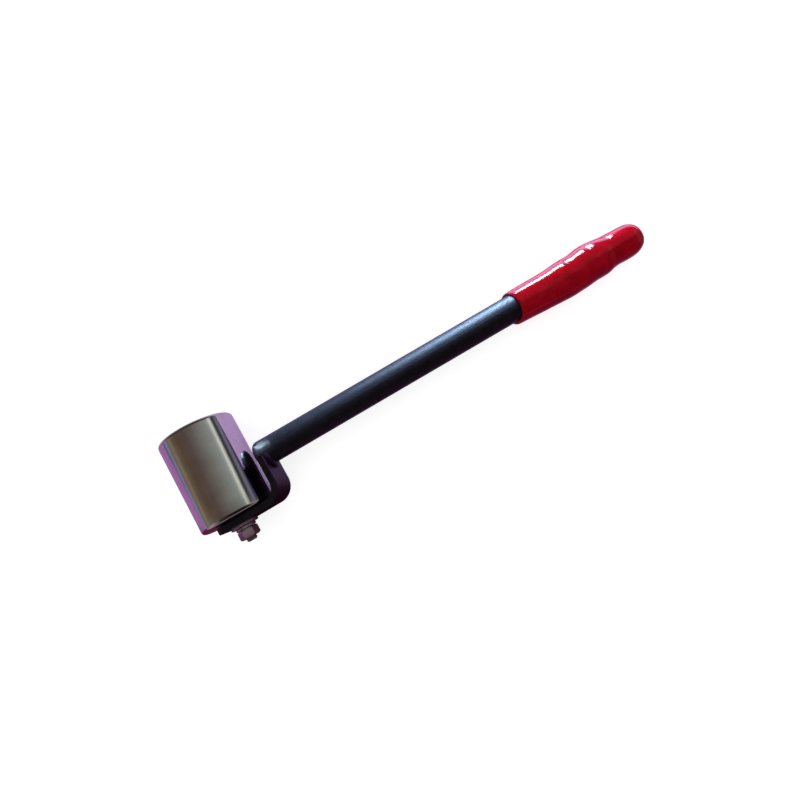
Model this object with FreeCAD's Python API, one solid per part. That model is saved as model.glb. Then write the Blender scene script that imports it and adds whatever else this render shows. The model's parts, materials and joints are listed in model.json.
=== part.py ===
import FreeCAD, Part
import math
import os

from FreeCAD import Vector

os.makedirs("parts", exist_ok=True)

# Driving dimensions in millimetres.  The tool is drawn first about the roller's
# centre: X runs back towards the grip, Y along the roller's axle towards its free
# end, Z up.  The last step lays it down as it rests on a bench.

# Roller
roller_d = 55.0
roller_half = 35.0
roller_edge = 2.5
core_d = 18.0
recess_d = 26.0
recess_depth = 10.0
arm_side_inset = 0.5

# Ball bearings, 8 x 22 x 7
bearing_bore = 8.0
bearing_od = 22.0
bearing_w = 7.0
pitch_d = 15.0
ball_d = 3.9
ball_count = 7
race_gap = 0.1
inner_land_r = 6.0
outer_land_r = 9.0
seal_seat_r = 9.8
seal_t = 0.7
seal_inset = 0.3
seal_gap = 0.3
cage_w = 4.8
cage_in_r = 6.9
cage_out_r = 8.1
pocket_gap = 0.12

# Bracket: flat bar on edge, bent once
bar_t = 5.0
bar_h = 30.0
leg_rear_x = 39.0
arm_outer_y = -40.5
bend_r = 13.0
arm_end_x = -15.0
arm_corner_r = 6.0
bar_edge = 0.8
axle_hole_d = 8.4

# Handle rod
rod_d = 20.0
rod_y = -5.2
rod_front_x = 30.5
rod_back_x = 338.0
handle_drop = 4.0
rod_nose_r = 5.0
weld_r = 3.0
weld_count = 9

# Axle bolt M8 x 80 and what sits on it
bolt_d = 8.0
bolt_len = 80.0
head_af = 13.0
head_h = 5.3
head_turn = 12.0
shim_od = 11.6
head_shim_t = 1.0
spacer_od = 11.6
spacer_bore = 8.2
nut_af = 13.0
nut_h = 6.8
nut_turn = 42.0
flat_od = 20.0
flat_t = 2.0
spring_od = 14.6
spring_t = 2.2
spring_slot = 1.0

# Hand grip: station x, half width towards +Y, half width towards -Y
lip_x = 243.0
lip_slant = 18.0
grip_stations = [
    (237.5, 11.6, 12.0),
    (247.0, 12.1, 12.7),
    (254.0, 12.2, 13.1),
    (262.0, 12.2, 13.6),
    (270.0, 12.2, 14.0),
    (277.0, 12.4, 14.4),
    (283.0, 13.0, 14.7),
    (288.0, 13.4, 14.8),
    (292.0, 13.3, 14.6),
    (296.0, 13.2, 14.4),
    (300.0, 13.8, 14.2),
    (304.0, 14.6, 13.8),
    (308.0, 14.9, 13.5),
    (313.0, 14.5, 13.5),
    (318.0, 13.9, 13.2),
    (323.0, 13.3, 12.0),
    (328.0, 12.9, 11.5),
    (334.0, 12.6, 11.7),
    (340.0, 12.4, 11.6),
    (344.0, 11.9, 10.9),
    (347.5, 10.4, 9.4),
    (350.0, 8.2, 7.3),
    (351.8, 5.0, 4.3),
]

roller_r = roller_d / 2
rod_r = rod_d / 2
bearing_r = bearing_od / 2
bore_r = bearing_bore / 2
arm_inner_y = arm_outer_y + bar_t
leg_front_x = leg_rear_x - bar_t
leg_end_y = rod_y - rod_r * 0.35
free_bearing_y = roller_half - recess_depth - bearing_w
arm_bearing_y = -roller_half + arm_side_inset

origin = Vector(0, 0, 0)
along_x = Vector(1, 0, 0)
along_y = Vector(0, 1, 0)
along_z = Vector(0, 0, 1)


def rod_y_axis(radius, y0, y1, x=0.0, z=0.0):
    """Solid cylinder on a line parallel to the axle, from y0 to y1."""
    return Part.makeCylinder(radius, y1 - y0, Vector(x, y0, z), along_y)


def tube(inner, outer, y0, y1):
    """Ring about the axle, from y0 to y1."""
    return rod_y_axis(outer, y0, y1).cut(rod_y_axis(inner, y0 - 1, y1 + 1))


def turned(points):
    """Solid turned about the axle from (radius, y) points."""
    corners = [Vector(r, y, 0) for r, y in points]
    face = Part.Face(Part.makePolygon(corners + corners[:1]))
    return face.revolve(origin, along_y, 360)


def hexagon(across_flats, y0, y1, turn=0.0):
    """Plain hexagonal prism about the axle, and the distance to its corners."""
    corner_r = across_flats / 2 / math.cos(math.pi / 6)
    corners = []
    for i in range(6):
        a = math.radians(60 * i + turn)
        corners.append(Vector(corner_r * math.cos(a), y0, corner_r * math.sin(a)))
    prism = Part.Face(Part.makePolygon(corners + corners[:1])).extrude(Vector(0, y1 - y0, 0))
    return prism, corner_r


def bevelled(across_flats, y0, y1, turn, bevel_low, bevel_high):
    """Hexagon with its corners bevelled at the chosen ends."""
    prism, corner_r = hexagon(across_flats, y0, y1, turn)
    flat_r = across_flats / 2 * 0.97
    wide_r = corner_r + 0.5
    drop = (wide_r - flat_r) * math.tan(math.radians(30))
    low = drop if bevel_low else 0.0
    high = drop if bevel_high else 0.0
    points = [(0, y0)]
    points.append((flat_r if bevel_low else wide_r, y0))
    if bevel_low:
        points.append((wide_r, y0 + low))
    if bevel_high:
        points.append((wide_r, y1 - high))
    points.append((flat_r if bevel_high else wide_r, y1))
    points.append((0, y1))
    return prism.common(turned(points))


def ball_track(y_mid):
    """Round track that the balls run in, with a little room round them."""
    middle = Vector(0, y_mid, 0)
    return Part.makeTorus(pitch_d / 2, ball_d / 2 + race_gap, middle, along_y)


def inner_ring(y0):
    """Bearing inner ring with its ball groove; its low face is at y0."""
    ring = tube(bore_r, inner_land_r, y0, y0 + bearing_w)
    return ring.cut(ball_track(y0 + bearing_w / 2))


def outer_ring(y0):
    """Bearing outer ring with its ball groove and two seal seats."""
    ring = tube(outer_land_r, bearing_r, y0, y0 + bearing_w)
    seat = seal_inset + seal_t
    ring = ring.cut(rod_y_axis(seal_seat_r, y0 - 1, y0 + seat))
    ring = ring.cut(rod_y_axis(seal_seat_r, y0 + bearing_w - seat, y0 + bearing_w + 1))
    return ring.cut(ball_track(y0 + bearing_w / 2))


def seal(y0):
    """Rubber seal held in the outer ring, just clear of the inner ring."""
    return tube(inner_land_r + seal_gap, seal_seat_r, y0, y0 + seal_t)


def ball_directions():
    """Directions from the axle to the balls, evenly spread."""
    directions = []
    for i in range(ball_count):
        a = 2 * math.pi * i / ball_count
        directions.append(Vector(math.cos(a), 0, math.sin(a)))
    return directions


def balls(y_mid):
    """The ball set of one bearing."""
    middle = Vector(0, y_mid, 0)
    places = [middle + d * (pitch_d / 2) for d in ball_directions()]
    return Part.makeCompound([Part.makeSphere(ball_d / 2, place) for place in places])


def cage(y_mid):
    """Ring that keeps the balls apart, with one round pocket for each."""
    ring = tube(cage_in_r, cage_out_r, y_mid - cage_w / 2, y_mid + cage_w / 2)
    for d in ball_directions():
        start = Vector(0, y_mid, 0) + d * (cage_in_r - 1)
        ring = ring.cut(Part.makeCylinder(ball_d / 2 + pocket_gap, cage_out_r - cage_in_r + 2, start, d))
    return ring


def make_roller():
    """Solid roller with two bearing seats and a deep recess in its free end."""
    body = rod_y_axis(roller_r, -roller_half, roller_half)
    rims = [e for e in body.Edges if isinstance(e.Curve, Part.Circle)]
    body = body.makeFillet(roller_edge, rims)
    body = body.cut(rod_y_axis(core_d / 2, -roller_half - 1, roller_half + 1))
    body = body.cut(rod_y_axis(bearing_r, -roller_half - 1, arm_bearing_y + bearing_w))
    body = body.cut(rod_y_axis(bearing_r, free_bearing_y, roller_half + 1))
    mouth_y = roller_half - recess_depth
    mouth = turned([
        (0, mouth_y),
        (recess_d / 2, mouth_y),
        (recess_d / 2, roller_half - 1.0),
        (recess_d / 2 + 1.0, roller_half),
        (recess_d / 2 + 1.0, roller_half + 1),
        (0, roller_half + 1),
    ])
    body = body.cut(mouth)
    return body


def bar_run(z0, z1):
    """The bar's path from the arm's end, round the bend, to beside the rod."""
    inner_r = bend_r - bar_t
    cx = leg_rear_x - bend_r
    cy = arm_outer_y + bend_r
    half = math.sqrt(0.5)
    a = Vector(arm_end_x, arm_outer_y, z0)
    b = Vector(cx, arm_outer_y, z0)
    c = Vector(leg_rear_x, cy, z0)
    d = Vector(leg_rear_x, leg_end_y, z0)
    e = Vector(leg_front_x, leg_end_y, z0)
    f = Vector(leg_front_x, cy, z0)
    g = Vector(cx, arm_inner_y, z0)
    h = Vector(arm_end_x, arm_inner_y, z0)
    outer_mid = Vector(cx + bend_r * half, cy - bend_r * half, z0)
    inner_mid = Vector(cx + inner_r * half, cy - inner_r * half, z0)
    edges = [
        Part.makeLine(a, b),
        Part.Arc(b, outer_mid, c).toShape(),
        Part.makeLine(c, d),
        Part.makeLine(d, e),
        Part.makeLine(e, f),
        Part.Arc(f, inner_mid, g).toShape(),
        Part.makeLine(g, h),
        Part.makeLine(h, a),
    ]
    return Part.Face(Part.Wire(edges)).extrude(Vector(0, 0, z1 - z0))


def make_bracket(rod):
    """Flat bar bent to an L: eased edges, rounded arm end, axle hole, coped to the rod."""
    bar = bar_run(-bar_h / 2, bar_h / 2)
    corner = arm_corner_r
    for side in (-1, 1):
        z_out = side * bar_h / 2
        block = Part.makeBox(corner, bar_t + 2, corner)
        low_z = z_out - corner if side > 0 else z_out
        block.translate(Vector(arm_end_x, arm_outer_y - 1, low_z))
        centre_z = z_out - side * corner
        keep = rod_y_axis(corner, arm_outer_y - 1, arm_inner_y + 1, arm_end_x + corner, centre_z)
        bar = bar.cut(block.cut(keep))
    long_edges = []
    for e in bar.Edges:
        box = e.BoundBox
        if box.ZLength < 0.001 and box.XMin > arm_end_x + corner - 1 and box.YMax < rod_y - rod_r:
            long_edges.append(e)
    bar = bar.makeFillet(bar_edge, long_edges)
    bar = bar.cut(rod_y_axis(axle_hole_d / 2, arm_outer_y - 1, arm_inner_y + 1))
    return bar.cut(rod)


def make_rod():
    """Round bar with a rounded front end, running on inside the grip."""
    bar = Part.makeCylinder(rod_r, rod_back_x - rod_front_x, Vector(rod_front_x, rod_y, 0), along_x)
    front = [e for e in bar.Edges if e.BoundBox.XMax < rod_front_x + 0.01]
    bar = bar.makeFillet(rod_nose_r, front)
    back = [e for e in bar.Edges if e.BoundBox.XMin > rod_back_x - 0.01]
    return bar.makeChamfer(1.5, back)


def weld_drops():
    """Centres and radii of the overlapping drops that make the weld bead."""
    seam_r = rod_r + 0.4
    limit = math.acos((rod_y - leg_end_y) / seam_r)
    front_x = leg_front_x - 0.1
    rear_x = leg_rear_x + 0.2
    drops = []
    for i in range(weld_count):
        a = limit * (2 * i / (weld_count - 1) - 1)
        spot_y = rod_y - seam_r * math.cos(a)
        spot_z = seam_r * math.sin(a)
        swell = 0.12 * math.sin(2.7 * i)
        drops.append((Vector(rear_x, spot_y, spot_z), weld_r + swell))
        drops.append((Vector(front_x, spot_y, spot_z), weld_r * 0.72 - swell))
    for side in (-1, 1):
        for k in (1, 2):
            x = front_x + (rear_x - front_x) * k / 3
            r = weld_r * (0.76 + 0.09 * k)
            drops.append((Vector(x, leg_end_y + 0.15, side * seam_r * math.sin(limit)), r))
    return drops


def make_weld(rod, bracket):
    """Bead round the bar's end: both faces, closed over above and below the rod."""
    balls_of_metal = [Part.makeSphere(r, centre) for centre, r in weld_drops()]
    bead = balls_of_metal[0].multiFuse(balls_of_metal[1:])
    bead = inclined(bead).cut(rod).cut(bracket)
    solids = sorted(bead.Solids, key=lambda s: -s.Volume)
    return solids[0]


def section(x, plus, minus):
    """Round section of the grip at one station, set off sideways by its grooves."""
    radius = (plus + minus) / 2
    centre = Vector(x, rod_y + (plus - minus) / 2, 0)
    return Part.Wire(Part.makeCircle(radius, centre, along_x))


def make_grip():
    """Soft sleeve with two swells, closed at its tail and cut on a slant at its mouth."""
    skin = Part.makeLoft([section(*s) for s in grip_stations], True, False)
    first_x = grip_stations[0][0]
    bore = Part.makeCylinder(rod_r, rod_back_x - first_x + 1, Vector(first_x - 1, rod_y, 0), along_x)
    waste = Part.makeBox(20, 60, 60, Vector(lip_x - 20, rod_y - 30, -30))
    waste.rotate(Vector(lip_x, rod_y, 0), along_y, lip_slant)
    return skin.cut(bore).cut(waste)


def inclined(shape):
    """Handle piece turned down about the leg's back face."""
    shape.rotate(Vector(leg_rear_x, rod_y, 0), along_y, handle_drop)
    return shape


def make_bolt(seat_y):
    """Hex bolt: head outside seat_y, plain drawn shank with a pointed thread end."""
    head = bevelled(head_af, seat_y, seat_y + head_h, head_turn, False, True)
    end_y = seat_y - bolt_len
    shank = turned([
        (0, end_y),
        (bolt_d / 2 - 1.0, end_y),
        (bolt_d / 2, end_y + 1.0),
        (bolt_d / 2, seat_y + 1.0),
        (0, seat_y + 1.0),
    ])
    return head.fuse(shank).removeSplitter()


def make_spring_washer(y0):
    """Split spring washer, drawn flat with its slot cut askew."""
    ring = tube(bolt_d / 2 + 0.1, spring_od / 2, y0, y0 + spring_t)
    slot = Part.makeBox(spring_slot, spring_t + 4, spring_od)
    slot.translate(Vector(-spring_slot / 2, -spring_t / 2 - 2, 0))
    slot.rotate(origin, along_z, 20)
    slot.translate(Vector(0, y0 + spring_t / 2, 0))
    return ring.cut(slot)


def make_nut():
    """Hex nut bevelled on both faces, its bore a tight fit on the bolt."""
    block = bevelled(nut_af, nut_y, spring_y, nut_turn, True, True)
    return block.cut(rod_y_axis(bolt_d / 2, nut_y - 1, spring_y + 1))


head_seat_y = free_bearing_y + bearing_w + head_shim_t
flat_y = arm_outer_y - flat_t
spring_y = flat_y - spring_t
nut_y = spring_y - nut_h
free_mid = free_bearing_y + bearing_w / 2
arm_mid = arm_bearing_y + bearing_w / 2
far_seal = bearing_w - seal_inset - seal_t

handle_rod = inclined(make_rod())
bracket = make_bracket(handle_rod)
parts = {
    "handle_rod": handle_rod,
    "bracket": bracket,
    "weld_bead": make_weld(handle_rod, bracket),
    "hand_grip": inclined(make_grip()),
    "axle_bolt": make_bolt(head_seat_y),
    "head_shim": tube(bore_r + 0.1, shim_od / 2, head_seat_y - head_shim_t, head_seat_y),
    "bearing_spacer": tube(spacer_bore / 2, spacer_od / 2, arm_bearing_y + bearing_w, free_bearing_y),
    "arm_spacer": tube(bore_r + 0.1, shim_od / 2, arm_inner_y, arm_bearing_y),
    "flat_washer": tube(bolt_d / 2 + 0.25, flat_od / 2, flat_y, arm_outer_y),
    "spring_washer": make_spring_washer(spring_y),
    "hex_nut": make_nut(),
    "roller_shell": make_roller(),
    "free_inner_ring": inner_ring(free_bearing_y),
    "free_outer_ring": outer_ring(free_bearing_y),
    "free_ball_set": balls(free_mid),
    "free_ball_cage": cage(free_mid),
    "free_seal_outside": seal(free_bearing_y + far_seal),
    "free_seal_inside": seal(free_bearing_y + seal_inset),
    "arm_inner_ring": inner_ring(arm_bearing_y),
    "arm_outer_ring": outer_ring(arm_bearing_y),
    "arm_ball_set": balls(arm_mid),
    "arm_ball_cage": cage(arm_mid),
    "arm_seal_outside": seal(arm_bearing_y + seal_inset),
    "arm_seal_inside": seal(arm_bearing_y + far_seal),
}


def lowest(shape, degrees):
    """Lowest point of a shape once turned about the axle."""
    turned_shape = shape.copy()
    turned_shape.rotate(origin, along_y, degrees)
    return turned_shape.optimalBoundingBox().ZMin


# Resting slope: the handle drops until the grip touches the plane the roller stands on.
low_slope = -6.0
high_slope = 6.0
for step in range(30):
    slope = (low_slope + high_slope) / 2
    if lowest(parts["hand_grip"], slope) > -roller_r:
        low_slope = slope
    else:
        high_slope = slope

whole = Part.makeCompound(list(parts.values()))
whole.rotate(origin, along_y, slope)
box = whole.optimalBoundingBox()
shift = Vector(-(box.XMin + box.XMax) / 2, -(box.YMin + box.YMax) / 2, -box.ZMin)

for name, shape in parts.items():
    placed = shape.copy()
    placed.rotate(origin, along_y, slope)
    placed.translate(shift)
    placed.exportStep("parts/" + name + ".step")
    print(name, len(placed.Solids), placed.isValid(), round(placed.Volume, 1))

print("slope", round(slope, 4), "shift", [round(v, 4) for v in shift])
print("box", [round(v, 3) for v in (box.XLength, box.YLength, box.ZLength)])
print("axle end y", round(head_seat_y - bolt_len, 3), "nut outer face y", round(nut_y, 3))
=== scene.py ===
import json
import math

import bmesh
import bpy
from mathutils import Matrix, Vector


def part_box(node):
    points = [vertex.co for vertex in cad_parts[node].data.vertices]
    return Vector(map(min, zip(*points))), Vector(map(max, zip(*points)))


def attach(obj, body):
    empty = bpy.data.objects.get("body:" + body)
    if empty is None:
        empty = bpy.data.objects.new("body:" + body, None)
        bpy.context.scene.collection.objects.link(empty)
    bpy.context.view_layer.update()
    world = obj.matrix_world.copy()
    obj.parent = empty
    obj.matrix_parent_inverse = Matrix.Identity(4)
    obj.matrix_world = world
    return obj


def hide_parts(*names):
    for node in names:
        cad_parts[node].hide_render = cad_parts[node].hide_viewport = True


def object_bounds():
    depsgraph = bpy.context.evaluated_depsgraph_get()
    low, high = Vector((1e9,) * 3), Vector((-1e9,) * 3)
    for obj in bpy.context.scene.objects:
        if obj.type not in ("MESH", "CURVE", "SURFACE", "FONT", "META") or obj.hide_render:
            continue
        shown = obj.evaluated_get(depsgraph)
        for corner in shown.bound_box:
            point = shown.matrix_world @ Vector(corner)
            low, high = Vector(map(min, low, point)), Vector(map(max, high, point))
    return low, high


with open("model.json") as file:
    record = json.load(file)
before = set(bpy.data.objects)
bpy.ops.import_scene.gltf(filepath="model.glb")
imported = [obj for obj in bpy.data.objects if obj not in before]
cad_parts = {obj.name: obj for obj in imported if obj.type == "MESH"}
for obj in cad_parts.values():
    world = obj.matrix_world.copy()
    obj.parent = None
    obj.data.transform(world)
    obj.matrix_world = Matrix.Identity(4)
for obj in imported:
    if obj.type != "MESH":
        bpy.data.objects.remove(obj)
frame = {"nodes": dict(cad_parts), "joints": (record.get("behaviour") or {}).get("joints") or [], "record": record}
nodes = frame["nodes"]
cad_low, cad_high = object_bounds()

# -------------------------------- dimensions, in metres, but in mm for the grip and its creases

MM = 0.001
REST_SLOPE = math.radians(-1.0259)
HANDLE_DROP = math.radians(4.0)
LEG_REAR_X = 39.0 * MM
LEG_FRONT_X = 34.0 * MM
ROD_Y = -5.2 * MM
ROD_R = 10.0 * MM
LEG_END_Y = -8.7 * MM

ROLLER_R = 27.5 * MM
ROLLER_HALF = 35.0 * MM
ROLLER_EDGE = 2.5 * MM
CORE_R = 9.0 * MM
SEAT_R = 11.0 * MM
RECESS_R = 13.0 * MM
RECESS_DEPTH = 10.0 * MM
BEARING_W = 7.0 * MM
ARM_SIDE_INSET = 0.5 * MM

ARM_OUTER_Y = -40.5 * MM
FLAT_R = 10.0 * MM
FLAT_BORE = 4.25 * MM
FLAT_T = 2.0 * MM
SPRING_R = 7.3 * MM
SPRING_T = 2.2 * MM
NUT_AF = 13.0 * MM
NUT_H = 6.8 * MM
NUT_TURN = 42.0
HEAD_SEAT_Y = 26.0 * MM
HEAD_H = 5.3 * MM
HEAD_TURN = 12.0
BOLT_R = 4.0 * MM
BOLT_LEN = 80.0 * MM
THREAD_PITCH = 1.25 * MM
THREAD_DEPTH = 0.62 * MM
THREAD_LEN = 22.0 * MM
BOLT_TIP_R = 3.0 * MM
HEX_CHAMFER_FROM = 0.95
HEX_EASE = 0.12 * MM

WELD_SEAM_R = ROD_R + 0.4 * MM
WELD_DROPS = 17
WELD_REAR_DROP_R = 2.75 * MM
WELD_FRONT_DROP_R = 2.0 * MM
WELD_RIPPLE = 0.14 * MM
WELD_TAPER = 0.9 * MM
WELD_VOXEL = 0.28 * MM

LIP_X = 243.0 * MM
LIP_SLANT = math.radians(18.0)

# Grip: station along the handle, half width towards the free end, half width away from it, in mm
GRIP_STATIONS = [
    (237.5, 11.6, 12.0), (247.0, 12.1, 12.7), (254.0, 12.2, 13.1), (262.0, 12.2, 13.6),
    (270.0, 12.2, 14.0), (277.0, 12.4, 14.4), (283.0, 13.0, 14.7), (288.0, 13.4, 14.8),
    (292.0, 13.3, 14.6), (296.0, 13.2, 14.4), (300.0, 13.8, 14.2), (304.0, 14.6, 13.8),
    (308.0, 14.9, 13.5), (313.0, 14.5, 13.5), (318.0, 13.9, 13.2), (323.0, 13.3, 12.0),
    (328.0, 12.9, 11.5), (334.0, 12.6, 11.7), (340.0, 12.4, 11.6), (344.0, 11.9, 10.9),
    (347.5, 10.4, 9.4), (349.8, 8.3, 7.4), (351.2, 5.4, 4.7),
]
# Dome of the tail, and the slant and rounding of the mouth, in mm
GRIP_CAP_RISE = 0.5
GRIP_MOUTH_LEAN_RUN = 22.0
GRIP_MOUTH_ROUND = 0.7
# Rounding of the mouth: angle in degrees, inset in mm
GRIP_MOUTH_EDGE = [(75, 0.05), (50, 0.2), (25, 0.45), (0, 0.8)]
# Bore behind the mouth: run from the mouth, radius, in mm
GRIP_BORE = [(-0.6, 10.35), (-0.1, 10.15), (1.5, 10.06), (12, 10.03)]

# Shallow creases between the swells, on the upper side towards +Y: station, spread, depth, in mm
CREASES = [(289.3, 2.6, 0.75), (308.5, 3.6, 1.15), (325.0, 4.5, 0.8)]
CREASE_TURN = math.radians(48.0)
CREASE_REACH = math.radians(34.0)
CREASE_BEND = 1.6

# Floor, cloth and backdrop, in metres
STAGE_HALF = 6.0
BACKDROP_R = 5.9

# The tool's own frame: the roller's centre, +X to the grip, +Y to the roller's free end
axle = Vector(next(j for j in frame["joints"] if j["name"] == "roller_spin")["pos_m"])
TOOL = Matrix.Translation(axle) @ Matrix.Rotation(REST_SLOPE, 4, "Y")
pivot = Vector((LEG_REAR_X, ROD_Y, 0))
HANDLE = TOOL @ Matrix.Translation(pivot) @ Matrix.Rotation(HANDLE_DROP, 4, "Y")
HANDLE = HANDLE @ Matrix.Translation(Vector((-LEG_REAR_X, 0, 0)))

# ---------------------------------------------------------------- camera

# Sensor width and focal length, in mm
SENSOR = 36.0
LENS = 23.265

camera_data = bpy.data.cameras.new("camera")
camera_data.sensor_width = SENSOR
camera_data.lens = LENS
camera_data.shift_x = 0.0015
camera_data.shift_y = -0.0025
camera_data.clip_start = 0.01
camera = bpy.data.objects.new("camera", camera_data)
camera.location = (-0.017575, -0.056096, 0.389804)
camera.rotation_euler = (0.09916408, 0.07672347, -0.53110953)
bpy.context.scene.collection.objects.link(camera)
bpy.context.scene.camera = camera
bpy.context.scene.view_settings.view_transform = "Standard"
bpy.context.scene.view_settings.look = "None"

# ---------------------------------------------------------------- mesh helpers


def link(name, mesh, matrix=None):
    """New object holding the mesh, placed by the matrix."""
    obj = bpy.data.objects.new(name, mesh)
    bpy.context.scene.collection.objects.link(obj)
    if matrix is not None:
        mesh.transform(matrix)
    return obj


def grid_mesh(name, rows, closed_rows=False):
    """Mesh through rows of points; each row a closed ring, with open ends capped."""
    bm = bmesh.new()
    rings = [[bm.verts.new(p) for p in row] for row in rows]
    count = len(rows[0])
    pairs = list(zip(rings, rings[1:]))
    if closed_rows:
        pairs.append((rings[-1], rings[0]))
    for low, high in pairs:
        for i in range(count):
            k = (i + 1) % count
            bm.faces.new((low[i], low[k], high[k], high[i]))
    if not closed_rows:
        bm.faces.new(list(reversed(rings[0])))
        bm.faces.new(rings[-1])
    bmesh.ops.recalc_face_normals(bm, faces=bm.faces)
    mesh = bpy.data.meshes.new(name)
    bm.to_mesh(mesh)
    bm.free()
    mesh.polygons.foreach_set("use_smooth", [True] * len(mesh.polygons))
    return mesh


def sharpen(mesh, degrees=30.0):
    """Mark the edges that turn by more than this as sharp."""
    mesh.set_sharp_from_angle(angle=math.radians(degrees))


def rounded(points, radii, steps=5):
    """Closed outline in (radius, y) with its corners rounded by the given radii."""
    out = []
    count = len(points)
    for i in range(count):
        p = Vector(points[i])
        a = Vector(points[i - 1]) - p
        b = Vector(points[(i + 1) % count]) - p
        r = radii[i]
        if r <= 0:
            out.append((p.x, p.y))
            continue
        half = a.angle(b) / 2
        run = r / math.tan(half)
        start = p + a.normalized() * run
        end = p + b.normalized() * run
        centre = p + (a.normalized() + b.normalized()).normalized() * (r / math.sin(half))
        va = start - centre
        vb = end - centre
        turn = va.angle(vb)
        for k in range(steps + 1):
            t = k / steps
            v = va * (math.sin((1 - t) * turn) / math.sin(turn))
            v = v + vb * (math.sin(t * turn) / math.sin(turn))
            out.append((centre.x + v.x, centre.y + v.y))
    return out


def lathe(name, outline, segments=160):
    """Closed ring about the axle, turned from an outline in (radius, y)."""
    rows = []
    for r, y in outline:
        row = []
        for i in range(segments):
            a = 2 * math.pi * i / segments
            row.append(Vector((r * math.cos(a), y, r * math.sin(a))))
        rows.append(row)
    return grid_mesh(name, rows, closed_rows=True)


def material(name):
    """Empty node material with a Principled shader, plus its tree."""
    mat = bpy.data.materials.new(name)
    mat.use_nodes = True
    tree = mat.node_tree
    tree.nodes.clear()
    out = tree.nodes.new("ShaderNodeOutputMaterial")
    shader = tree.nodes.new("ShaderNodeBsdfPrincipled")
    tree.links.new(shader.outputs[0], out.inputs[0])
    return mat, tree, shader


def node(tree, kind, **values):
    """New shader node with some inputs set by name or number."""
    made = tree.nodes.new(kind)
    for key, value in values.items():
        made.inputs[key.replace("_", " ")].default_value = value
    return made


def coords(tree, scale=(1, 1, 1)):
    """Object coordinates, stretched along each axis."""
    where = tree.nodes.new("ShaderNodeTexCoord")
    mapping = tree.nodes.new("ShaderNodeMapping")
    mapping.inputs["Scale"].default_value = scale
    tree.links.new(where.outputs["Object"], mapping.inputs["Vector"])
    return mapping.outputs["Vector"]


def noise_at(tree, vector, scale, detail=3.0, rough=0.5):
    """Noise value between 0 and 1."""
    made = node(tree, "ShaderNodeTexNoise", Scale=scale, Detail=detail, Roughness=rough)
    tree.links.new(vector, made.inputs["Vector"])
    return made.outputs["Fac"]


def ramp(tree, value, stops):
    """Colour ramp over a value; stops are (position, colour)."""
    made = tree.nodes.new("ShaderNodeValToRGB")
    while len(made.color_ramp.elements) < len(stops):
        made.color_ramp.elements.new(0.5)
    for element, (place, colour) in zip(made.color_ramp.elements, stops):
        element.position = place
        element.color = (*colour, 1.0)
    tree.links.new(value, made.inputs["Fac"])
    return made.outputs["Color"]


def spread(tree, value, low, high, to_low, to_high):
    """Map a value from one range to another."""
    made = tree.nodes.new("ShaderNodeMapRange")
    made.inputs["From Min"].default_value = low
    made.inputs["From Max"].default_value = high
    made.inputs["To Min"].default_value = to_low
    made.inputs["To Max"].default_value = to_high
    tree.links.new(value, made.inputs["Value"])
    return made.outputs["Result"]


def bump(tree, height, distance, strength=1.0, under=None):
    """Bump normal from a height."""
    made = node(tree, "ShaderNodeBump", Strength=strength, Distance=distance)
    tree.links.new(height, made.inputs["Height"])
    if under is not None:
        tree.links.new(under, made.inputs["Normal"])
    return made.outputs["Normal"]


# ---------------------------------------------------------------- materials


def chrome_material():
    """Polished hard chrome: faint cloudiness, turning marks and a few pits."""
    mat, tree, shader = material("chrome_roller")
    shader.inputs["Metallic"].default_value = 1.0
    where = coords(tree)
    cloud = noise_at(tree, where, 90.0, 4.0, 0.6)
    colour = ramp(tree, cloud, [(0.3, (0.62, 0.60, 0.575)), (0.7, (0.72, 0.705, 0.68))])
    tree.links.new(colour, shader.inputs["Base Color"])
    haze = noise_at(tree, where, 260.0, 5.0, 0.65)
    rough = spread(tree, haze, 0.3, 0.7, 0.04, 0.085)
    tree.links.new(rough, shader.inputs["Roughness"])
    rings = noise_at(tree, coords(tree, (1, 60, 1)), 60.0, 2.0)
    first = bump(tree, rings, 0.00002, 0.12)
    dimple = noise_at(tree, where, 900.0, 2.0)
    second = bump(tree, dimple, 0.00004, 0.16, first)
    tree.links.new(second, shader.inputs["Normal"])
    return mat


def powder_material():
    """Satin black powder coat with fine orange peel."""
    mat, tree, shader = material("powder_coat")
    where = coords(tree)
    tone = noise_at(tree, where, 240.0, 4.0)
    colour = ramp(tree, tone, [(0.3, (0.004, 0.003, 0.005)), (0.7, (0.008, 0.006, 0.010))])
    tree.links.new(colour, shader.inputs["Base Color"])
    patch = noise_at(tree, where, 700.0, 3.0)
    rough = spread(tree, patch, 0.3, 0.7, 0.35, 0.50)
    tree.links.new(rough, shader.inputs["Roughness"])
    peel = noise_at(tree, where, 1500.0, 2.0, 0.6)
    tree.links.new(bump(tree, peel, 0.00028, 0.7), shader.inputs["Normal"])
    shader.inputs["Specular IOR Level"].default_value = 0.3
    return mat


def vinyl_material():
    """Very glossy crimson dipped vinyl with a little depth and waviness."""
    mat, tree, shader = material("grip_vinyl")
    where = coords(tree)
    tone = noise_at(tree, where, 95.0, 4.0, 0.6)
    colour = ramp(tree, tone, [(0.3, (0.23, 0.002, 0.007)), (0.7, (0.40, 0.003, 0.014))])
    tree.links.new(colour, shader.inputs["Base Color"])
    scuff = noise_at(tree, where, 420.0, 5.0, 0.7)
    rough = spread(tree, scuff, 0.35, 0.75, 0.08, 0.10)
    tree.links.new(rough, shader.inputs["Roughness"])
    wave = noise_at(tree, where, 130.0, 1.5)
    tree.links.new(bump(tree, wave, 0.0003, 0.03), shader.inputs["Normal"])
    shader.inputs["Specular IOR Level"].default_value = 0.2
    shader.inputs["Subsurface Weight"].default_value = 0.06
    shader.inputs["Subsurface Radius"].default_value = (0.004, 0.0006, 0.0006)
    shader.inputs["Subsurface Scale"].default_value = 1.0
    return mat


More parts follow.
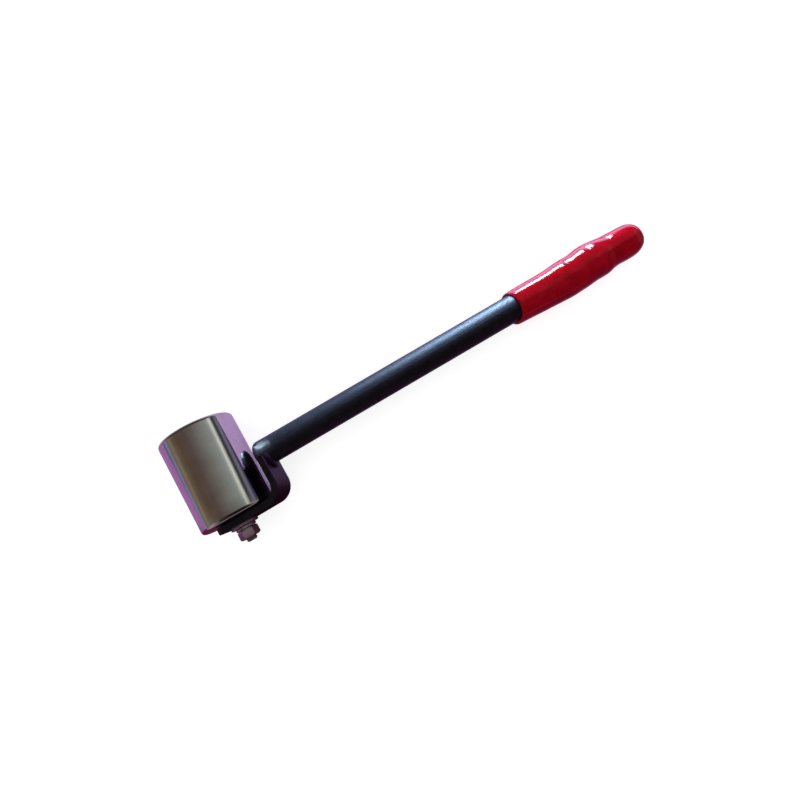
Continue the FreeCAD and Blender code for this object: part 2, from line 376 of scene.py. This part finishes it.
def metal_material(name, dark, light, rough_low, rough_high, grain, peak=0.35, mottle=320.0):
    """Plated or ground steel with mottled tone and fine grain."""
    mat, tree, shader = material(name)
    shader.inputs["Metallic"].default_value = 1.0
    where = coords(tree)
    tone = noise_at(tree, where, mottle, 4.0, 0.6)
    tree.links.new(ramp(tree, tone, [(0.3, dark), (0.7, light)]), shader.inputs["Base Color"])
    patch = noise_at(tree, where, 520.0, 4.0)
    tree.links.new(spread(tree, patch, 0.3, 0.7, rough_low, rough_high), shader.inputs["Roughness"])
    fine = noise_at(tree, where, grain, 3.0)
    tree.links.new(bump(tree, fine, 0.00005, peak), shader.inputs["Normal"])
    return mat


def rubber_material():
    """Matt black moulded rubber for the bearing seals."""
    mat, tree, shader = material("seal_rubber")
    where = coords(tree)
    tone = noise_at(tree, where, 500.0, 3.0)
    colour = ramp(tree, tone, [(0.3, (0.013, 0.013, 0.014)), (0.7, (0.026, 0.026, 0.028))])
    tree.links.new(colour, shader.inputs["Base Color"])
    tree.links.new(spread(tree, tone, 0.3, 0.7, 0.5, 0.7), shader.inputs["Roughness"])
    tree.links.new(bump(tree, noise_at(tree, where, 2500.0), 0.00003, 0.4), shader.inputs["Normal"])
    return mat


LOOKS = {
    "chrome_roller": chrome_material(),
    "powder_coat": powder_material(),
    "grip_vinyl": vinyl_material(),
    "zinc": metal_material(
        "zinc", (0.40, 0.38, 0.31), (0.54, 0.37, 0.50), 0.36, 0.52, 1800.0, 0.3, 75.0
    ),
    "bearing_steel": metal_material(
        "bearing_steel", (0.50, 0.50, 0.51), (0.64, 0.64, 0.65), 0.12, 0.22, 2600.0, 0.15
    ),
    "cage_steel": metal_material(
        "cage_steel", (0.36, 0.36, 0.37), (0.50, 0.50, 0.51), 0.28, 0.42, 2200.0
    ),
    "seal_rubber": rubber_material(),
}

for row in frame["record"]["subparts"]:
    obj = nodes[row["node"]]
    for place in obj.material_slots:
        place.material = LOOKS[row["material_slot"]]


def piece(name, mesh, matrix, slot, body, *stands_for):
    """Finished piece: placed, painted, riding on its body, standing for CAD nodes."""
    obj = link(name, mesh, matrix)
    mesh.materials.append(LOOKS[slot])
    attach(obj, body)
    if stands_for:
        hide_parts(*stands_for)
    return obj


# ---------------------------------------------------------------- roller


def roller_outline():
    """Cross-section of the roller body in (radius, y), with its edges eased."""
    arm_face = -ROLLER_HALF
    seat_a = arm_face + ARM_SIDE_INSET + BEARING_W
    recess = ROLLER_HALF - RECESS_DEPTH
    seat_b = recess - BEARING_W
    ease = 0.25 * MM
    points = [
        (ROLLER_R, arm_face), (ROLLER_R, ROLLER_HALF),
        (RECESS_R + 1.0 * MM, ROLLER_HALF), (RECESS_R, ROLLER_HALF - 1.0 * MM),
        (RECESS_R, recess), (SEAT_R, recess), (SEAT_R, seat_b),
        (CORE_R, seat_b), (CORE_R, seat_a), (SEAT_R, seat_a), (SEAT_R, arm_face),
    ]
    radii = [ROLLER_EDGE, ROLLER_EDGE, ease, ease, 0.4 * MM, ease, 0, ease, ease, 0, ease]
    return rounded(points, radii, 10)


def smooth_lathe(name, outline, segments, degrees=30.0):
    """Lathe with its hard corners kept."""
    mesh = lathe(name, outline, segments)
    sharpen(mesh, degrees)
    return mesh


piece(
    "roller_body", smooth_lathe("roller_body", roller_outline(), 256), TOOL,
    "chrome_roller", "roller", "roller_shell",
)

# ---------------------------------------------------------------- axle: washers, nut, bolt


def hex_radius(turn, angle, across):
    """Distance from the axis to a hexagon's side at this angle."""
    local = (math.degrees(angle) - turn) % 60.0 - 30.0
    return across / 2 / math.cos(math.radians(local))


def hexagon_mesh(name, across, y0, y1, turn, bore, chamfer_low, chamfer_high):
    """Hexagon with 30 degree chamfers and a bore; y0 is its outer face."""
    segments = 240
    flat_r = across / 2 * HEX_CHAMFER_FROM
    slope = math.tan(math.radians(30))

    def ring(share, side_y, chamfered, inward):
        row = []
        for i in range(segments):
            a = 2 * math.pi * i / segments
            edge = hex_radius(turn, a, across) - HEX_EASE * inward
            r = bore + (edge - bore) * share
            y = side_y
            if chamfered and r > flat_r:
                step = 1 if side_y > (y0 + y1) / 2 else -1
                y = side_y - step * (r - flat_r) * slope
            row.append(Vector((r * math.cos(a), y, r * math.sin(a))))
        return row

    shares = [0.0, 0.25, 0.5, 0.7, 0.8, 0.86, 0.9, 0.94, 0.97, 0.99]
    rows = [ring(s, y0, chamfer_low, 1) for s in shares]
    rows.append(ring(1.0, y0, chamfer_low, 0.7))
    low_edge = ring(1.0, y0, chamfer_low, 0)
    high_edge = ring(1.0, y1, chamfer_high, 0)
    for t in (0.03, 0.5, 0.97):
        rows.append([a.lerp(b, t) for a, b in zip(low_edge, high_edge)])
    rows.append(ring(1.0, y1, chamfer_high, 0.7))
    rows.extend(ring(s, y1, chamfer_high, 1) for s in reversed(shares))
    mesh = grid_mesh(name, rows, closed_rows=True)
    sharpen(mesh, 24.0)
    return mesh


flat_y = ARM_OUTER_Y - FLAT_T
spring_y = flat_y - SPRING_T
nut_y = spring_y - NUT_H

washer_outline = rounded(
    [(FLAT_BORE, flat_y), (FLAT_R, flat_y), (FLAT_R, ARM_OUTER_Y), (FLAT_BORE, ARM_OUTER_Y)],
    [0.2 * MM, 0.45 * MM, 0.15 * MM, 0.1 * MM], 4,
)
washer = piece(
    "flat_washer_disc", smooth_lathe("flat_washer_disc", washer_outline, 128), TOOL,
    "zinc", "frame", "flat_washer",
)


def split_ring(name, inner, outer, y0, thick, gap_degrees, rise):
    """Spring washer: square section, cut open, with a slight helical set."""
    outline = rounded(
        [(inner, 0), (outer, 0), (outer, thick), (inner, thick)], [0.25 * MM] * 4, 3
    )
    rows = []
    steps = 96
    for i in range(steps + 1):
        t = i / steps
        a = math.radians(gap_degrees / 2 + (360 - gap_degrees) * t)
        lift = rise * t
        rows.append([
            Vector((r * math.cos(a), y0 + y * (1 - rise / thick) + lift, r * math.sin(a)))
            for r, y in outline
        ])
    mesh = grid_mesh(name, rows)
    sharpen(mesh, 30.0)
    return mesh


spring = piece(
    "spring_washer_ring",
    split_ring("spring_washer_ring", BOLT_R + 0.1 * MM, SPRING_R, spring_y, SPRING_T, 9.0, 0.3 * MM),
    TOOL, "zinc", "frame", "spring_washer",
)
nut = piece(
    "axle_nut",
    hexagon_mesh("axle_nut", NUT_AF, nut_y, spring_y, NUT_TURN, BOLT_R + 0.02 * MM, True, True),
    TOOL, "zinc", "frame", "hex_nut",
)


def bolt_mesh():
    """Shank with a rolled thread at the nut's end and a plain run up to the head."""
    end_y = HEAD_SEAT_Y - BOLT_LEN
    segments = 72
    rows = []
    stations = []
    y = end_y
    while y < end_y + THREAD_LEN:
        stations.append(y)
        y += THREAD_PITCH / 12
    stations.extend([end_y + THREAD_LEN, HEAD_SEAT_Y + 0.5 * MM])
    for y in stations:
        row = []
        for i in range(segments):
            a = 2 * math.pi * i / segments
            phase = ((y - end_y) / THREAD_PITCH + i / segments) % 1.0
            crest = min(1.0, abs(phase - 0.5) * 2.4)
            fade = min(1.0, max(0.0, (end_y + THREAD_LEN - y) / THREAD_PITCH))
            r = BOLT_R - THREAD_DEPTH * (1 - crest) * fade
            r = min(r, BOLT_TIP_R + (y - end_y))
            row.append(Vector((r * math.cos(a), y, r * math.sin(a))))
        rows.append(row)
    mesh = grid_mesh("axle_bolt_shank", rows)
    sharpen(mesh, 45.0)
    return mesh


shank = piece("axle_bolt_shank", bolt_mesh(), TOOL, "zinc", "frame")
piece(
    "axle_bolt_head",
    hexagon_mesh(
        "axle_bolt_head", NUT_AF, HEAD_SEAT_Y, HEAD_SEAT_Y + HEAD_H, HEAD_TURN,
        0.02 * MM, False, True,
    ),
    TOOL, "zinc", "frame", "axle_bolt",
)

# ---------------------------------------------------------------- weld bead


def weld_mesh():
    """Rippled bead round the bar's end, melted together from overlapping drops."""
    limit = math.acos((ROD_Y - LEG_END_Y) / WELD_SEAM_R)
    bm = bmesh.new()
    drops = []
    for i in range(WELD_DROPS):
        a = limit * (2 * i / (WELD_DROPS - 1) - 1)
        y = -WELD_SEAM_R * math.cos(a)
        z = WELD_SEAM_R * math.sin(a)
        swell = WELD_RIPPLE * math.sin(2.7 * i)
        taper = WELD_TAPER * (a / limit) ** 4
        drops.append((Vector((LEG_REAR_X + 0.2 * MM, y, z)), WELD_REAR_DROP_R + swell - taper))
        drops.append((Vector((LEG_FRONT_X - 0.1 * MM, y, z)), WELD_FRONT_DROP_R - swell))
    for side in (-1, 1):
        for k in (1, 2, 3):
            x = LEG_FRONT_X + (LEG_REAR_X - LEG_FRONT_X) * k / 4
            end_z = side * WELD_SEAM_R * math.sin(limit)
            place = Vector((x, LEG_END_Y - ROD_Y + 0.15 * MM, end_z))
            drops.append((place, (2.15 + 0.18 * k) * MM))
    for centre, r in drops:
        made = bmesh.ops.create_icosphere(bm, subdivisions=3, radius=r)
        bmesh.ops.translate(bm, verts=made["verts"], vec=centre)
    mesh = bpy.data.meshes.new("weld")
    bm.to_mesh(mesh)
    bm.free()
    obj = link("weld_scratch", mesh)
    remesh = obj.modifiers.new("remesh", "REMESH")
    remesh.mode = "VOXEL"
    remesh.voxel_size = WELD_VOXEL
    remesh.use_smooth_shade = True
    smooth = obj.modifiers.new("smooth", "SMOOTH")
    smooth.iterations = 5
    smooth.factor = 0.5
    depsgraph = bpy.context.evaluated_depsgraph_get()
    made = bpy.data.meshes.new_from_object(obj.evaluated_get(depsgraph))
    bpy.data.objects.remove(obj)
    return made


weld = piece("weld_ripple", weld_mesh(), HANDLE, "powder_coat", "frame", "weld_bead")

# ---------------------------------------------------------------- grip


def smooth_value(table, x, column):
    """Catmull-Rom value of a column of the table at x."""
    last = len(table) - 1
    k = 0
    while k < last - 1 and table[k + 1][0] < x:
        k += 1
    p0 = table[max(k - 1, 0)]
    p1 = table[k]
    p2 = table[k + 1]
    p3 = table[min(k + 2, last)]
    t = (x - p1[0]) / (p2[0] - p1[0])
    span = p2[0] - p1[0]
    m1 = (p2[column] - p0[column]) / (p2[0] - p0[0]) * span
    m2 = (p3[column] - p1[column]) / (p3[0] - p1[0]) * span
    t2 = t * t
    t3 = t2 * t
    value = (2 * t3 - 3 * t2 + 1) * p1[column] + (t3 - 2 * t2 + t) * m1
    return value + (-2 * t3 + 3 * t2) * p2[column] + (t3 - t2) * m2


def crease_depth(x, a):
    """How far the creases sink the sleeve at a station and an angle from +Y."""
    off = (a - CREASE_TURN) / CREASE_REACH
    if off > math.pi / CREASE_REACH:
        off -= 2 * math.pi / CREASE_REACH
    depth = 0.0
    for station, width, deep in CREASES:
        bent = station + CREASE_BEND * off
        depth += deep * math.exp(-abs(x - bent) / width) * math.exp(-off * off)
    return depth


def grip_mesh():
    """Swelled sleeve: slanted thin mouth, finger swells, creases, domed tail."""
    segments = 160
    rows = []
    last = GRIP_STATIONS[-1][0]
    lip = LIP_X / MM

    def ring(x, extra=0.0, radius=None):
        plus = smooth_value(GRIP_STATIONS, x, 1)
        minus = smooth_value(GRIP_STATIONS, x, 2)
        row = []
        for i in range(segments):
            a = 2 * math.pi * i / segments
            if radius is None:
                r = (plus + minus) / 2 + extra - crease_depth(x, a)
                off = (plus - minus) / 2
            else:
                r = radius
                off = 0.0
            y = off + r * math.cos(a)
            z = r * math.sin(a)
            row.append((x, y, z))
        return row

    def slanted(row, weight):
        """Lean a ring near the mouth: its top further back than its underside."""
        return [(x + weight * z * math.tan(LIP_SLANT), y, z) for x, y, z in row]

    outer = []
    count = 190
    for k in range(count + 1):
        x = lip + (last - lip) * k / count
        lean = max(0.0, 1 - (x - lip) / GRIP_MOUTH_LEAN_RUN)
        outer.append(slanted(ring(x), lean * lean * (3 - 2 * lean)))
    wall = []
    for angle, inset in GRIP_MOUTH_EDGE:
        out = -GRIP_MOUTH_ROUND * math.cos(math.radians(angle))
        wall.append(slanted([(x + out, y, z) for x, y, z in ring(lip, -inset)], 1.0))
    inner = []
    for run, r in GRIP_BORE:
        inner.append(slanted(ring(lip + run, radius=r), 1.0))
    rows = list(reversed(inner)) + list(reversed(wall)) + outer
    for scale in (0.75, 0.5, 0.25):
        x = last + GRIP_CAP_RISE * (1 - scale * scale)
        plus = GRIP_STATIONS[-1][1]
        minus = GRIP_STATIONS[-1][2]
        off = (plus - minus) / 2
        r = (plus + minus) / 2 * scale
        rows.append([
            (x, off + r * math.cos(2 * math.pi * i / segments),
             r * math.sin(2 * math.pi * i / segments))
            for i in range(segments)
        ])
    rows = [[Vector(p) * MM for p in row] for row in rows]
    mesh = grid_mesh("grip_sleeve", rows)
    sharpen(mesh, 60.0)
    return mesh


grip = piece("grip_sleeve", grip_mesh(), HANDLE, "grip_vinyl", "frame", "hand_grip")

# ---------------------------------------------------------------- floor and light


def mixed(tree, factor, first, second):
    """Colour between two, each a colour or a socket."""
    made = tree.nodes.new("ShaderNodeMix")
    made.data_type = "RGBA"
    tree.links.new(factor, made.inputs["Factor"])
    for key, value in (("A", first), ("B", second)):
        if isinstance(value, tuple):
            made.inputs[key].default_value = (*value, 1)
        else:
            tree.links.new(value, made.inputs[key])
    return made.outputs["Result"]


def floor_material(name, shade, glow):
    """Pale matt surface with a glow of its own, like a light table."""
    mat, tree, shader = material(name)
    tone = noise_at(tree, coords(tree), 30.0, 3.0)
    colour = ramp(tree, tone, [(0.3, (shade * 0.98,) * 3), (0.7, (shade,) * 3)])
    tree.links.new(colour, shader.inputs["Base Color"])
    shader.inputs["Roughness"].default_value = 0.9
    shader.inputs["Specular IOR Level"].default_value = 0.1
    shader.inputs["Emission Color"].default_value = (1, 1, 1, 1)
    shader.inputs["Emission Strength"].default_value = glow
    return mat


def cloth_material():
    """Mauve cloth for reflections: paler to the grip's side, grey far off, maroon by the arm as painted shadow
    beside the roller; it glows a little, as painted light.
    """
    mat, tree, shader = material("cloth")
    axes = tree.nodes.new("ShaderNodeSeparateXYZ")
    tree.links.new(coords(tree), axes.inputs[0])
    right = spread(tree, axes.outputs["X"], axle.x - 0.05, axle.x + 0.05, 0.0, 1.0)
    mauve = mixed(tree, right, (0.46, 0.21, 0.53), (0.62, 0.42, 0.80))
    along = spread(tree, axes.outputs["X"], axle.x - 0.06, axle.x + 0.06, 0.0, 1.0)
    # Painted shadow: dark maroon on the arm's side of the roller, darkest along the roller's length, where the
    # tool's shade falls.
    shaded_maroon = ramp(tree, along, [
        (0.15, (0.14, 0.018, 0.055)), (0.30, (0.035, 0.004, 0.013)),
        (0.86, (0.035, 0.004, 0.016)), (0.97, (0.22, 0.04, 0.17)),
    ])
    beside = spread(tree, axes.outputs["X"], axle.x - 0.45, axle.x - 0.20, 0.0, 1.0)
    back = spread(tree, axes.outputs["Y"], 0.11, 0.20, 0.0, 1.0)
    both = tree.nodes.new("ShaderNodeMath")
    both.operation = "MULTIPLY"
    tree.links.new(beside, both.inputs[0])
    tree.links.new(back, both.inputs[1])
    plain = mixed(tree, both.outputs[0], mauve, (0.60, 0.56, 0.62))
    away = spread(tree, axes.outputs["Y"], -0.12, -0.30, 0.0, 1.0)
    near = mixed(tree, away, shaded_maroon, (0.42, 0.40, 0.41))
    front = spread(tree, axes.outputs["Y"], -0.008, -0.030, 0.0, 1.0)
    colour = mixed(tree, front, plain, near)
    tree.links.new(colour, shader.inputs["Base Color"])
    # Painted light: the cloth glows in its own colour, which lightens the shade under the tool in reflections and
    # bounce.
    tree.links.new(colour, shader.inputs["Emission Color"])
    shader.inputs["Emission Strength"].default_value = 0.35
    shader.inputs["Roughness"].default_value = 0.9
    shader.inputs["Specular IOR Level"].default_value = 0.1
    return mat


def plane(name, low, high, z, mat):
    """Flat rectangle on the stage from one corner to the other."""
    corners = [(low[0], low[1]), (high[0], low[1]), (high[0], high[1]), (low[0], high[1])]
    mesh = bpy.data.meshes.new(name)
    mesh.from_pydata([(x, y, z) for x, y in corners], [], [(0, 1, 2, 3)])
    mesh.materials.append(mat)
    obj = link(name, mesh)
    return obj


floor = plane(
    "floor", (-STAGE_HALF, -STAGE_HALF), (STAGE_HALF, STAGE_HALF), cad_low.z,
    floor_material("floor", 0.50, 0.80),
)
floor.visible_glossy = False
floor.visible_diffuse = False
floor.visible_shadow = False
cloth = plane(
    "reflected_cloth", (-STAGE_HALF, -STAGE_HALF), (axle.x + 0.42, STAGE_HALF),
    cad_low.z - 0.5 * MM, cloth_material(),
)
cloth.visible_camera = False
cloth.visible_shadow = False


def backdrop_mesh():
    """Round wall and ceiling about the stage."""
    bm = bmesh.new()
    bmesh.ops.create_uvsphere(bm, u_segments=48, v_segments=24, radius=BACKDROP_R)
    mesh = bpy.data.meshes.new("backdrop")
    bm.to_mesh(mesh)
    bm.free()
    mesh.polygons.foreach_set("use_smooth", [True] * len(mesh.polygons))
    mesh.materials.append(floor_material("backdrop", 0.03, 0.80))
    return mesh


backdrop = link("backdrop", backdrop_mesh())
backdrop.visible_glossy = False
backdrop.visible_diffuse = False
backdrop.visible_shadow = False
backdrop.visible_transmission = False


def area(name, place, aim, size, power, colour=(1, 1, 1), only=None, glossy=True, beam=180):
    """Rectangular soft light pointed at a spot; it may light only some pieces."""
    data = bpy.data.lights.new(name, "AREA")
    data.shape = "RECTANGLE"
    data.size, data.size_y = size
    data.energy = power
    data.color = colour
    data.spread = math.radians(beam)
    obj = bpy.data.objects.new(name, data)
    obj.location = place
    direction = Vector(aim) - Vector(place)
    obj.rotation_euler = direction.to_track_quat("-Z", "Y").to_euler()
    obj.visible_glossy = glossy
    bpy.context.scene.collection.objects.link(obj)
    if only:
        group = bpy.data.collections.new(name + "_lit")
        for lit in only:
            group.objects.link(lit)
        obj.light_linking.receiver_collection = group
    return obj


def toward(start, azimuth, rise, distance):
    """Point at a distance from start; azimuth turns from +Y to +X, both angles in degrees."""
    a = math.radians(azimuth)
    e = math.radians(rise)
    way = Vector((math.sin(a) * math.cos(e), math.cos(a) * math.cos(e), math.sin(e)))
    return Vector(start) + way * distance


grip_low, grip_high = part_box("hand_grip")
grip_middle = (grip_low + grip_high) / 2
rod_low, rod_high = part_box("handle_rod")
rod_middle = (rod_low + rod_high) / 2
nose = HANDLE @ Vector((36.0 * MM, 3.5 * MM, 9 * MM))
rod = nodes["handle_rod"]
bracket = nodes["bracket"]
plated = [nut, washer, spring, shank]

area("overhead", (0.0, 0.0, 1.6), (0, 0, 0), (2.6, 2.6), 21.0, glossy=False)
area(
    "window", toward(grip_middle, 20.5, 5, 1.5), grip_middle, (0.40, 0.60), 36.0,
    (0.93, 0.96, 1.0), [grip],
)
area(
    "grip_side", toward(grip_middle, 24, 20, 1.0), grip_middle, (0.5, 0.5), 4.0,
    (1.0, 0.96, 0.96), [grip], glossy=False,
)
area(
    "grip_low_side", toward(grip_middle, 200, 5, 1.0), grip_middle, (0.5, 0.5), 1.4,
    (1.0, 0.9, 0.95), [grip], glossy=False,
)
area(
    "cloth_glow", (0.06, 0.30, 0.003), (0.06, 0.30, 1.0), (0.62, 0.52), 4.6,
    (0.44, 0.54, 1.0), [grip],
)
area(
    "rod_window", toward(rod_middle, 27, 10, 0.75), rod_middle, (0.36, 0.28), 43.0,
    (0.44, 0.67, 1.0), [rod],
)
area(
    "nose_light", toward(nose, -14, 24, 0.05), nose, (0.012, 0.010), 0.0017,
    (0.60, 0.82, 1.0), [rod], beam=14,
)
area(
    "arm_glow", toward(axle, 75, -4, 0.5), axle, (0.3, 0.10), 2.2,
    (0.85, 0.16, 1.0), [bracket, weld],
)
area(
    "nut_window", (-0.08, -0.05, 1.0), axle, (0.8, 0.8), 0.62,
    (1.0, 0.88, 0.94), plated,
)

# Room seen in the polished roller, by the angle from straight up towards +X
ROOM = [
    (-94, (0.30, 0.17, 0.40)), (-90, (0.15, 0.12, 0.30)), (-82, (0.28, 0.29, 0.42)),
    (-74, (0.17, 0.16, 0.16)), (-66, (0.28, 0.22, 0.15)), (-56, (0.16, 0.12, 0.08)),
    (-40, (0.12, 0.08, 0.055)), (-14, (0.12, 0.085, 0.08)), (6, (0.16, 0.14, 0.13)),
    (30, (0.24, 0.24, 0.22)), (54, (0.31, 0.35, 0.34)), (60, (0.45, 0.50, 0.46)),
    (65, (0.85, 0.88, 0.78)), (70, (0.50, 0.51, 0.49)), (74, (0.05, 0.05, 0.07)),
    (79, (0.05, 0.05, 0.07)), (86, (0.20, 0.20, 0.25)), (91, (0.16, 0.15, 0.22)),
    (94, (0.05, 0.04, 0.10)), (100, (0.05, 0.04, 0.12)),
]
# Studio seen the other way, by the sideways share of the direction
STUDIO = [
    (-1.0, (0.16, 0.155, 0.16)), (-0.88, (0.42, 0.42, 0.42)), (-0.74, (0.20, 0.20, 0.205)),
    (-0.54, (0.04, 0.036, 0.04)), (-0.15, (0.018, 0.010, 0.012)), (0.60, (0.018, 0.010, 0.012)),
    (0.76, (0.06, 0.055, 0.06)), (0.90, (0.34, 0.34, 0.35)), (1.0, (0.16, 0.155, 0.16)),
]
ROOM_LEAN = 0.78
ROOM_LEAN_FROM = 0.24

world = bpy.data.worlds.new("world")
bpy.context.scene.world = world
world.use_nodes = True
tree = world.node_tree
tree.nodes.clear()
out = tree.nodes.new("ShaderNodeOutputWorld")
sky = tree.nodes.new("ShaderNodeBackground")
direction = tree.nodes.new("ShaderNodeTexCoord")
parts = tree.nodes.new("ShaderNodeSeparateXYZ")
tree.links.new(direction.outputs["Generated"], parts.inputs[0])
angle = tree.nodes.new("ShaderNodeMath")
angle.operation = "ARCTAN2"
tree.links.new(parts.outputs["X"], angle.inputs[0])
tree.links.new(parts.outputs["Z"], angle.inputs[1])
lean = tree.nodes.new("ShaderNodeMath")
lean.operation = "MULTIPLY_ADD"
tree.links.new(parts.outputs["Y"], lean.inputs[0])
lean.inputs[1].default_value = -ROOM_LEAN
lean.inputs[2].default_value = ROOM_LEAN * ROOM_LEAN_FROM
leaning = tree.nodes.new("ShaderNodeMath")
tree.links.new(angle.outputs[0], leaning.inputs[0])
tree.links.new(lean.outputs[0], leaning.inputs[1])
share = spread(tree, leaning.outputs[0], -math.pi, math.pi, 0.0, 1.0)
room = ramp(tree, share, [((a + 180) / 360, c) for a, c in ROOM])
far = spread(tree, parts.outputs["Y"], 0.32, 0.5, 0.0, 1.0)
beyond = mixed(tree, far, room, (0.05, 0.045, 0.05))
across = spread(tree, parts.outputs["X"], -1.0, 1.0, 0.0, 1.0)
studio = ramp(tree, across, [((x + 1) / 2, c) for x, c in STUDIO])
behind = spread(tree, parts.outputs["Y"], 0.06, -0.1, 0.0, 1.0)
around = mixed(tree, behind, beyond, studio)
tree.links.new(around, sky.inputs["Color"])
tree.links.new(sky.outputs[0], out.inputs[0])
